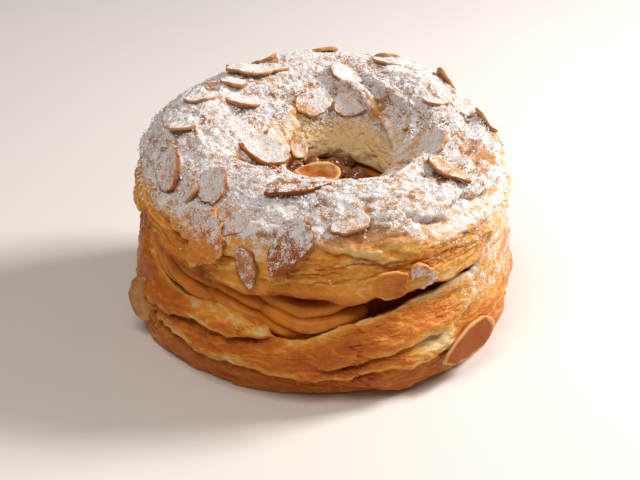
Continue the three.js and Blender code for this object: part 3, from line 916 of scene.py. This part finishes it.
def base_baking(dough, angle):
    """What the base adds to its baking, painted shade and painted light, and the sugar that fell on it."""
    height, radius = dough.height, dough.radius
    rim = near(height, base_rim(angle), 1.2)
    under = near(height, 0, 1.6)
    # Painted shade on the front, under the lid's overhang.
    shaded = bell(angle, -92, 32) * (1 - smoothstep(height, 15, 19))
    # Painted light on the right shoulder, partly also the paleness of the sugar dust there.
    lit_and_dusted = bell(angle, -28, 28) * smoothstep(height, 15, 20)
    # The whole base is browner, partly a deeper bake and partly painted shade, and it is paler inside the
    # ring.
    tone_shift = 0.18 - 0.5 * (1 - smoothstep(radius, 41, 44))
    tone_shift -= 0.6 * bell(angle, -54, 9) * near(height, 12.5, 2.8)
    tone_shift += 0.08 * under - 0.36 * rim + 0.16 * shaded - 0.28 * lit_and_dusted
    dust = 0.3 * span(angle, -46, 40, 20) * smoothstep(height, 13, 22) + 0.07 * rim
    return tone_shift, dust * outer_side(radius)


# Operators


class PARIS_OT_crust(bpy.types.Operator):
    """Make one half of the ring of baked dough"""

    bl_idname = "paris.crust"
    bl_label = "Crust"

    half: bpy.props.EnumProperty(
        name="Half", description="Which half of the ring",
        items=(("lid", "Lid", "The sugared upper half"), ("base", "Base", "The lower half")), default="lid",
    )

    def execute(self, context):
        lid = self.half == "lid"
        scale = 1.0
        around = int(sizes().around * scale)
        along = int(sizes().along * scale)
        mesh, angle, turn = spun_ring(f"baked_{self.half}", along, around)
        share = uneven(SECTION_STEPS[self.half], along)[np.round(turn * along).astype(int) % along]
        dough = surface(self.half, angle, share)
        round_ring = np.stack([angle * RING_RADIUS / GRAIN_STRETCH, dough.radius, dough.height], axis=1)
        if lid:
            tear_lid_edge(dough, angle, round_ring)
        crusty = smoothstep(dough.height, 0.5, 3) if lid else outer_side(dough.radius)
        stretched = fractal(round_ring, 2.2, 33)
        layers = fractal(round_ring * np.array([0.8, 1, 1]), 5.5, 61)
        skin, crack = skin_relief(self.half, dough.place, round_ring, layers, stretched)
        place = dough.place + dough.normal * (crusty * skin)[:, None]
        bake_and_shading = 0.40 + 0.17 * fractal(place, 9, 41) + 0.14 * stretched - 0.2 * smoothstep(skin, 0.2, 1.1)
        bake_and_shading = bake_and_shading - 0.24 * layer_ends(layers, 0.03, 0.03)
        hollow, nook, lip = dough.crease
        # Painted shade darkens the creases, and the nook under each lip more; a painted highlight pales the
        # lips. Near -50 degrees the creases are paler, as the dough is paler there.
        bake_and_shading = bake_and_shading - 0.45 * lip + (0.22 - 1.1 * bell(angle, -50, 26)) * hollow * (1 - nook)
        bake_and_shading = bake_and_shading + 0.5 * nook + 0.25 * crack
        if lid:
            tone_shift, sugar, dusty = lid_baking(dough, angle, place, layers)
            drift = np.clip(sugar, 0, 1) * (0.6 + 0.9 * fractal(place, 0.9, 51, 2))
            place = place + dough.normal * (sizes().sugar_depth / MM * drift)[:, None]
            set_attribute(mesh, "dusty", dusty)
        else:
            tone_shift, sugar = base_baking(dough, angle)
            place[:, 2] = np.maximum(place[:, 2], 0)
        set_attribute(mesh, "bake_and_shading", bake_and_shading + tone_shift)
        set_attribute(mesh, "sugar", sugar)
        set_coordinates(mesh, place)
        material = crust_material(f"{self.half}_crust", CRUST_DEPTH[self.half])
        piece = add_object(mesh.name, mesh, material)
        finish_piece(piece, "sugared_crust" if lid else "crust", f"choux_{self.half}")
        return {"FINISHED"}


class PARIS_OT_cream(bpy.types.Operator):
    """Pipe the praline cream between the halves"""

    bl_idname = "paris.cream"
    bl_label = "Praline cream"

    def body(self, material):
        """The thick disc behind the ropes, which also carries the nuts."""
        bm = bmesh.new()
        bmesh.ops.create_circle(bm, cap_ends=True, segments=180, radius=1)
        disc = bm.faces[:]
        for _ in range(14):
            bmesh.ops.inset_region(bm, faces=disc, thickness=0.065, use_even_offset=False)
        thicken(bm)
        mesh = mesh_from(bm, "cream_body")
        points = coordinates(mesh)
        level = points[:, 2]
        radius = np.hypot(points[:, 0], points[:, 1])
        angle = np.arctan2(points[:, 1], points[:, 0])
        recess = 1 - 0.12 * span(angle, *CREAM_RECESS) * smoothstep(radius, 0.76, 0.97)
        x = points[:, 0] * CREAM_RADIUS * recess
        y = points[:, 1] * CREAM_RADIUS * recess
        distance = np.hypot(x, y)
        well = 1 - smoothstep(distance, NUT_WELL, NUT_WELL + 0.6)
        plug = 1 - smoothstep(distance, BASE_HOLE_RADIUS - 1.2, NUT_WELL)
        low = FLOOR_PLANE + BODY_PLAY + FLOOR_LEAN * y - plug * (6 + BODY_PLAY + FLOOR_LEAN * y)
        high = LID_PLANE + LID_LEAN * y - BODY_PLAY - (NUT_BED - BODY_PLAY) * well
        set_coordinates(mesh, centred(np.stack([x, y, low + (high - low) * level], axis=1)))
        return add_object("cream_body", mesh, material)

    def rope_line(self, start, bulge, sink, along):
        """Points along a rope's middle, from under the lid down over the base's rim."""
        angle = start + math.radians(ROPE_SPAN) * along
        radius = CREAM_RADIUS - 2.2 + bulge * np.sin(math.pi * (0.12 + 0.8 * along)) ** 0.7
        y = radius * np.sin(angle)
        top = LID_PLANE + LID_LEAN * y - 2.6 + 0.5 * lid_edge(angle) - sink
        bottom = np.minimum(base_rim(angle), top - 3) + 1.6
        return np.stack([radius * np.cos(angle), y, top + (bottom - top) * along**0.85], axis=1)

    def strand(self, rope, seed, side, material):
        """One of the two strands of a rope, from a grid rolled into a tube with round ends."""
        bm = bmesh.new()
        bmesh.ops.create_grid(bm, x_segments=STRAND_FACETS[0], y_segments=STRAND_FACETS[1], size=1)
        mesh = mesh_from(bm, "strand")
        grid = coordinates(mesh)
        along = (grid[:, 0] + 1) / 2
        turn = (grid[:, 1] + 1) * math.pi
        start = rope[0]
        angle = start + math.radians(ROPE_SPAN) * along
        before = self.rope_line(*rope, np.maximum(along - 0.01, 0))
        ahead = self.rope_line(*rope, np.minimum(along + 0.01, 1)) - before
        ahead /= np.linalg.norm(ahead, axis=1)[:, None]
        outward = np.stack([np.cos(angle), np.sin(angle), np.zeros_like(angle)], axis=1)
        across = np.cross(ahead, outward)
        across /= np.linalg.norm(across, axis=1)[:, None]
        outward = np.cross(across, ahead)
        middle = self.rope_line(*rope, along) + across * (side * STRAND_APART) + outward * (0.5 * side)
        end = np.clip(np.minimum(along, 1 - along) / STRAND_END, 0, 1)
        size = STRAND_RADIUS * np.sqrt(1 - (1 - end) ** 2)
        size = size * (1 + 0.07 * np.sin(7 * along * math.pi + seed) + 0.04 * np.sin(3 * turn + seed))
        offset = outward * np.cos(turn)[:, None] + across * np.sin(turn)[:, None]
        points = middle + offset * size[:, None]
        points += offset * (0.12 * fractal(points, 3.0, seed) * end)[:, None]
        set_coordinates(mesh, centred(points))
        bm = bmesh.new()
        bm.from_mesh(mesh)
        bmesh.ops.remove_doubles(bm, verts=bm.verts, dist=0.02 * MM)
        bmesh.ops.recalc_face_normals(bm, faces=bm.faces)
        bm.to_mesh(mesh)
        bm.free()
        return add_object("strand", mesh, material)

    def execute(self, context):
        material = cream_material()
        parts = [self.body(material)]
        for k in range(ROPE_COUNT):
            shift, sink = FRONT_ROPES.get(k, (0, 0))
            start = math.radians(FIRST_ROPE + shift + 360 / ROPE_COUNT * k + 2.5 * math.sin(5 * k))
            middle = np.array([start + math.radians(ROPE_SPAN / 2)])
            if span(middle, *NO_ROPE)[0] > 0.2:
                continue
            bulge = 5.4 + 0.6 * math.sin(3 * k)
            for side in (-1, 1):
                rope = (start + math.radians(1.5) * side, bulge, sink)
                parts.append(self.strand(rope, k, side, material))
        finish_piece(joined("piped_cream", parts), "cream", "praline_cream")
        return {"FINISHED"}


def flake_mesh(length, width, seed, cup=0.5, ragged=0.14, toast=0.35, sugar=0.95, rim_toast=0.15):
    """A slice of almond lying flat, with the toast of its rim and its sugar as attributes."""
    bm = bmesh.new()
    bmesh.ops.create_grid(bm, x_segments=22, y_segments=12, size=1)
    thicken(bm)
    mesh = mesh_from(bm, "flake")
    grid = coordinates(mesh)
    square = np.sign(grid[:, :2]) * np.abs(grid[:, :2]) ** 0.7
    x = square[:, 0] * np.sqrt(1 - square[:, 1] ** 2 / 2)
    y = square[:, 1] * np.sqrt(1 - square[:, 0] ** 2 / 2)
    chord = np.sqrt(np.maximum(1 - x**2, 1e-6))
    across = np.clip(y / chord, -1, 1)
    blunt = np.sqrt(np.maximum(1 - ((x + FLAKE_WAIST) / (1 - FLAKE_WAIST)) ** 2, 0))
    pointed = 1 - np.clip((x + FLAKE_WAIST) / (1 + FLAKE_WAIST), 0, 1) ** 2.1
    half = width / 2 * np.where(x < -FLAKE_WAIST, blunt, pointed)
    rim = np.maximum(np.abs(square[:, 0]), np.abs(square[:, 1]))
    upper = grid[:, 2] > 0.5
    local = np.stack([x * length / 2, across * half, np.zeros_like(x)], axis=1)
    wave = 0.3 * noise(local + seed * 7.3, 4.0, seed) + 0.1 * noise(local + seed * 3.1, 1.6, seed + 5)
    bend = cup * (across * half / (width / 2)) ** 2 + 0.35 * cup * x**2
    thick = FLAKE_THICKNESS * (0.5 - 0.1 * smoothstep(rim, 0.96, 1.0))
    tears = noise(local + seed * 5.7, 2.4, seed + 9) + 0.5 * noise(local + seed * 2.3, 0.9, seed + 11)
    local[:, :2] *= (1 + ragged * tears)[:, None]
    if seed % 4 == 1:
        cut = 0.2 * length
        past = np.maximum(local[:, 0] - cut, 0)
        local[:, 0] = np.minimum(local[:, 0], cut) + 0.35 * past
    local[:, 2] = np.where(upper, thick, -thick) + wave + bend - 0.3 * cup
    set_attribute(mesh, "bake_and_shading", toast - 0.3 * smoothstep(rim, 0.88, 1.0) + 0.2 * smoothstep(x, 0.2, -0.9))
    # The toast is a little higher on the underside: painted shade under the flake.
    set_attribute(mesh, "toast", toast + rim_toast * smoothstep(rim, 0.7, 1.0) + 0.05 * ~upper)
    set_attribute(mesh, "sugar", np.where(upper, sugar - 0.75 * sugar * smoothstep(rim, 0.95, 1.0), -0.6))
    return mesh, local


def flake_frame(half, angle, share, heading, pitch, lift):
    """Directions and middle of a flake that lies on the crust."""
    angle = math.radians(angle)
    step = 0.05
    angles = np.array([angle, angle + step, angle - step, angle, angle])
    shares = np.array([share, share, share, share + step, share - step])
    place = [Vector(point) for point in surface(half, angles, shares % 1).place]
    ahead = (place[1] - place[2]).normalized()
    over = (place[3] - place[4]).normalized()
    normal = ahead.cross(over).normalized()
    side = normal.cross(ahead)
    turn = Matrix((ahead, side, normal)).transposed()
    turn = turn @ Matrix.Rotation(math.radians(heading), 3, "Z")
    turn = turn @ Matrix.Rotation(math.radians(pitch), 3, "X")
    return np.array(turn), np.array(place[0] + normal * lift)


def add_flakes(name, half, flakes, material, cup, seed=0, ragged=0.14, least=0.4):
    """Flakes as one object. The least is how much sugar they carry where the lid is bare."""
    parts = []
    for k, (angle, share, heading, length, width, pitch, lift, *finish) in enumerate(flakes):
        mesh, local = flake_mesh(length, width, seed + k, cup * (1 if k % 3 else -0.5), ragged, *finish)
        turn, middle = flake_frame(half, angle, share, heading, pitch, lift)
        points = local @ turn.T + middle
        layer = mesh.attributes["sugar"].data
        sugar = np.empty(len(layer))
        layer.foreach_get("value", sugar)
        if half == "lid":
            height = points[:, 2] - LID_PLANE - LID_LEAN * points[:, 1]
            normal = np.tile(turn[:, 2], (len(points), 1))
            around = np.arctan2(points[:, 1], points[:, 0])
            cover = sugar_cover(around, np.hypot(points[:, 0], points[:, 1]), height, normal, points)
            sugar = np.where(sugar < 0, sugar, sugar * np.maximum(cover, least))
        set_attribute(mesh, "sugar", sugar)
        set_coordinates(mesh, points)
        parts.append(add_object("flake", mesh, material))
    return joined(name, parts)


def seeded(seed):
    """Draws between two numbers, in the same run as the solids use."""
    state = seed

    def draw(low=0.0, high=1.0):
        nonlocal state
        state = (state + 0x6D2B79F5) & 0xFFFFFFFF
        mixed = ((state ^ (state >> 15)) * (state | 1)) & 0xFFFFFFFF
        mixed ^= (mixed + (mixed ^ (mixed >> 7)) * (mixed | 61)) & 0xFFFFFFFF
        return low + (high - low) * ((mixed ^ (mixed >> 14)) & 0xFFFFFFFF) / 2**32

    draw()
    return draw


def far_flakes(count):
    """A few more flakes on the lid's far side, drawn at random."""
    draw = seeded(21)
    flakes = []
    for k in range(count):
        angle = 44 + 100 / count * k + draw(-5, 5)
        flakes.append((angle, draw(0.17, 0.26), draw(-180, 180), draw(9, 13), draw(6, 8), draw(-12, 12), 0.5))
    return flakes


class PARIS_OT_flakes(bpy.types.Operator):
    """Lay the almond flakes and the peeled chips of crust"""

    bl_idname = "paris.flakes"
    bl_label = "Almond flakes"

    def execute(self, context):
        sugared_almond = almond_material("sugared_almond", True)
        lid_flakes = list(LID_FLAKES) + far_flakes(4)
        finish_piece(add_flakes("lid_flakes", "lid", lid_flakes, sugared_almond, 0.5), "sugared_crust")
        bare = almond_material("toasted_almond", False, 0.0)
        on_base = add_flakes("base_flakes", "base", BASE_FLAKES + LEFT_FLAP, bare, 0.3, seed=60, ragged=0.05)
        finish_piece(on_base, "crust")
        chip = crust_material("peeled_crust", CRUST_DEPTH["lid"])
        chips = add_flakes("lid_chips", "lid", LID_CHIPS, chip, 0.9, seed=72, ragged=0.3, least=0.12)
        finish_piece(chips, "sugared_crust")
        return {"FINISHED"}


class PARIS_OT_nuts(bpy.types.Operator):
    """Heap the caramelised nuts in the hole"""

    bl_idname = "paris.nuts"
    bl_label = "Caramelised nuts"

    def lump(self, radius, middle, seed, stretch, material, rough=0.3):
        """An uneven ball. A flat one isn't tumbled."""
        bm = bmesh.new()
        bmesh.ops.create_icosphere(bm, subdivisions=4, radius=1)
        mesh = mesh_from(bm, "nut")
        ball = coordinates(mesh)
        swell = 1 + rough * fractal(ball + seed * 3.7, 0.8, seed) + 0.06 * fractal(ball + seed, 0.3, seed + 3)
        tumble = 0 if stretch[2] < 0.5 else seed * 2.1
        turn = np.array(Matrix.Rotation(seed * 1.3, 3, "Z") @ Matrix.Rotation(tumble, 3, "X"))
        points = (ball * swell[:, None] * np.array(stretch) * radius) @ turn.T
        points[:, 2] += LID_LEAN * points[:, 1]
        set_coordinates(mesh, centred(points + middle))
        return add_object("nut", mesh, material)

    def spiral(self, count, radius, first, phase):
        """Places spread evenly over a disc, as seeds are in a flower."""
        for k in range(count):
            reach = radius * math.sqrt((k + first) / count)
            angle = SPIRAL_TURN * k + phase
            yield HEAP_SHIFT + reach * math.cos(angle), reach * math.sin(angle)

    def execute(self, context):
        material = caramel_material("caramelised_nut", 1.0)
        draw = seeded(5)
        bed = LID_PLANE - NUT_BED + GAP
        parts = []
        for k, (x, y) in enumerate(self.spiral(NUT_COUNT, HEAP_RADIUS - 2.3, 0.4, 0)):
            middle = (x, y, bed + 3.6 + LID_LEAN * y + draw(0, 1.2))
            parts.append(self.lump(NUT_RADIUS * draw(0.85, 1.2), middle, k, NUT_SHAPE, material))
        for k, (x, y) in enumerate(self.spiral(SMALL_NUTS, HEAP_RADIUS, 0.7, 1)):
            middle = (x, y, bed + 2.6 + LID_LEAN * y + draw(0, 1.2))
            parts.append(self.lump(draw(1.1, 1.9), middle, 40 + k, SMALL_NUT_SHAPE, material))
        for places, radius, lift, seed, shape in (
            (TOP_NUTS, 2.2, 5.0, 80, NUT_SHAPE), (EDGE_NUTS, 1.5, 2.6, 60, SMALL_NUT_SHAPE),
        ):
            for k, (x, y) in enumerate(places):
                middle = (x, y, bed + lift + LID_LEAN * y)
                parts.append(self.lump(radius, middle, seed + k, shape, material))
        heap = joined("caramelised_nuts", parts)
        finish_piece(heap, "caramel_nuts", "praline_nuts")
        # A flat mound of caramel under the nuts, darkened to a depth of 0.2 as painted shade in the gaps
        # between the nuts.
        dark = caramel_material("caramel_and_shade", 0.2)
        mound = self.lump(HEAP_RADIUS + 1.5, (0.2, 0, bed + 1.3), 30, (1, 1, 0.12), dark, 0.06)
        mound.name = "caramel_and_shade_bed"
        finish_piece(mound, "caramel_nuts")
        mesh, local = flake_mesh(12, 6.5, 90, 0.9, 0.08, toast=0.75, sugar=-0.6, rim_toast=-0.7)
        heading = Matrix.Rotation(math.radians(176), 3, "Z")
        pitch = Matrix.Rotation(math.radians(-16), 3, "X")
        points = local @ np.array(heading @ pitch).T + np.array([-2.0, -0.3, bed + 7.3])
        set_coordinates(mesh, centred(points))
        finish_piece(add_object("nut_flake", mesh, almond_material("bare_almond", False)), "caramel_nuts")
        return {"FINISHED"}


class PARIS_OT_sugar(bpy.types.Operator):
    """Scatter loose clumps of powdered sugar over the lid"""

    bl_idname = "paris.sugar"
    bl_label = "Sugar grains"

    def execute(self, context):
        count = sizes().grain_count // 1
        tries = count * 3
        batch_size = 100
        draw = np.random.default_rng(8)
        angle = draw.uniform(0, TAU, tries)
        share = draw.uniform(0.06, 0.66, tries)
        place, normal, height, radius, _ = surface("lid", angle, share)
        cover = sugar_cover(angle, radius, height, normal, place)
        kept = np.flatnonzero(draw.uniform(0, 1, tries) < 0.03 + cover)[:count]
        material = sugar_material()
        parts = []
        size = sizes().grain_radius
        for batch in np.array_split(kept, max(1, len(kept) // batch_size)):
            bm = bmesh.new()
            for k in batch:
                grain = size * draw.uniform(0.5, 1.5)
                lift = 0.25 * cover[k] + 0.1
                spot = Matrix.Translation(Vector((place[k] + normal[k] * lift) * MM))
                stretch = Matrix.Diagonal((1, draw.uniform(0.7, 1), draw.uniform(0.6, 1), 1))
                spin = Matrix.Rotation(draw.uniform(0, TAU), 4, "Z")
                bmesh.ops.create_icosphere(bm, subdivisions=1, radius=grain, matrix=spot @ spin @ stretch)
            parts.append(add_object("grains", mesh_from(bm, "grains"), material))
        finish_piece(joined("sugar_grains", parts), "sugared_crust")
        return {"FINISHED"}


class PARIS_OT_stage(bpy.types.Operator):
    """Set the floor, the lights and the camera"""

    bl_idname = "paris.stage"
    bl_label = "Stage"

    def floor(self):
        bm = bmesh.new()
        bmesh.ops.create_grid(bm, x_segments=2, y_segments=2, size=3)
        shading = Shading("pale_floor")
        tone = shading.mix(shading.noise(60), *FLOOR_TONES)
        material = shading.finish(shading.surface(Base_Color=tone, Roughness=0.8))
        floor = add_object("floor", mesh_from(bm, "floor"), material)

    def light(self, name, place, size, power, colour):
        data = bpy.data.lights.new(name, "AREA")
        data.size = size
        data.energy = power
        data.color = colour
        lamp = bpy.data.objects.new(name, data)
        lamp.location = place
        aim = Vector(LIGHT_AIM) - Vector(place)
        lamp.rotation_euler = aim.to_track_quat("-Z", "Y").to_euler()
        bpy.context.scene.collection.objects.link(lamp)

    def camera(self):
        data = bpy.data.cameras.new("camera")
        data.lens = LENS
        data.sensor_width = SENSOR
        data.clip_start = 0.01
        ahead = Vector((0, math.cos(CAMERA_ELEVATION), -math.sin(CAMERA_ELEVATION)))
        above = Vector((0, math.sin(CAMERA_ELEVATION), math.cos(CAMERA_ELEVATION)))
        right = Vector((1, 0, 0)) * math.cos(CAMERA_ROLL) + above * math.sin(CAMERA_ROLL)
        above = above * math.cos(CAMERA_ROLL) - Vector((1, 0, 0)) * math.sin(CAMERA_ROLL)
        focal = PICTURE[0] * LENS / SENSOR
        aim = (ahead - right * (AXIS_OFFSET[0] / focal) + above * (AXIS_OFFSET[1] / focal)).normalized()
        above = (above - aim * above.dot(aim)).normalized()
        right = aim.cross(above)
        place = ahead * -CAMERA_DISTANCE + Vector((CENTRE_SHIFT[0], CENTRE_SHIFT[1], -CAMERA_DROP))
        turn = Matrix((right, above, -aim)).transposed().to_4x4()
        camera = bpy.data.objects.new("camera", data)
        camera.matrix_world = Matrix.Translation(place * MM) @ turn
        bpy.context.scene.collection.objects.link(camera)
        bpy.context.scene.camera = camera

    def execute(self, context):
        self.floor()
        for name, lamp in LIGHTS.items():
            self.light(name, *lamp)
        world = bpy.data.worlds.new("studio")
        world.use_nodes = True
        background = world.node_tree.nodes["Background"]
        background.inputs["Color"].default_value = SKY_COLOUR
        background.inputs["Strength"].default_value = SKY_STRENGTH
        context.scene.world = world
        context.scene.view_settings.view_transform = "Standard"
        self.camera()
        return {"FINISHED"}


class PARIS_PT_panel(bpy.types.Panel):
    """Lists the pieces of the pastry"""

    bl_idname = "PARIS_PT_panel"
    bl_label = "Paris-Brest"
    bl_space_type = "VIEW_3D"
    bl_region_type = "UI"
    bl_category = "Paris-Brest"

    def draw(self, context):
        layout = self.layout
        for half in ("base", "lid"):
            layout.operator("paris.crust", text=f"Crust: {half}").half = half
        for operator in ("paris.cream", "paris.nuts", "paris.flakes", "paris.sugar", "paris.stage"):
            layout.operator(operator)
        for group in (context.scene.paris_sizes, context.scene.paris_colours):
            box = layout.box()
            for name in group.bl_rna.properties.keys():
                if name not in ("rna_type", "name"):
                    box.prop(group, name)


CLASSES = (
    ParisSizes, ParisColours, PARIS_OT_crust, PARIS_OT_cream, PARIS_OT_flakes,
    PARIS_OT_nuts, PARIS_OT_sugar, PARIS_OT_stage, PARIS_PT_panel,
)


def register():
    for cls in CLASSES:
        bpy.utils.register_class(cls)
    bpy.types.Scene.paris_sizes = PointerProperty(type=ParisSizes)
    bpy.types.Scene.paris_colours = PointerProperty(type=ParisColours)


def unregister():
    del bpy.types.Scene.paris_colours
    del bpy.types.Scene.paris_sizes
    for cls in reversed(CLASSES):
        bpy.utils.unregister_class(cls)


def main():
    register()
    bpy.ops.paris.stage()
    bpy.ops.paris.crust(half="base")
    bpy.ops.paris.crust(half="lid")
    bpy.ops.paris.cream()
    bpy.ops.paris.nuts()
    bpy.ops.paris.flakes()
    bpy.ops.paris.sugar()


if __name__ == "__main__":
    main()
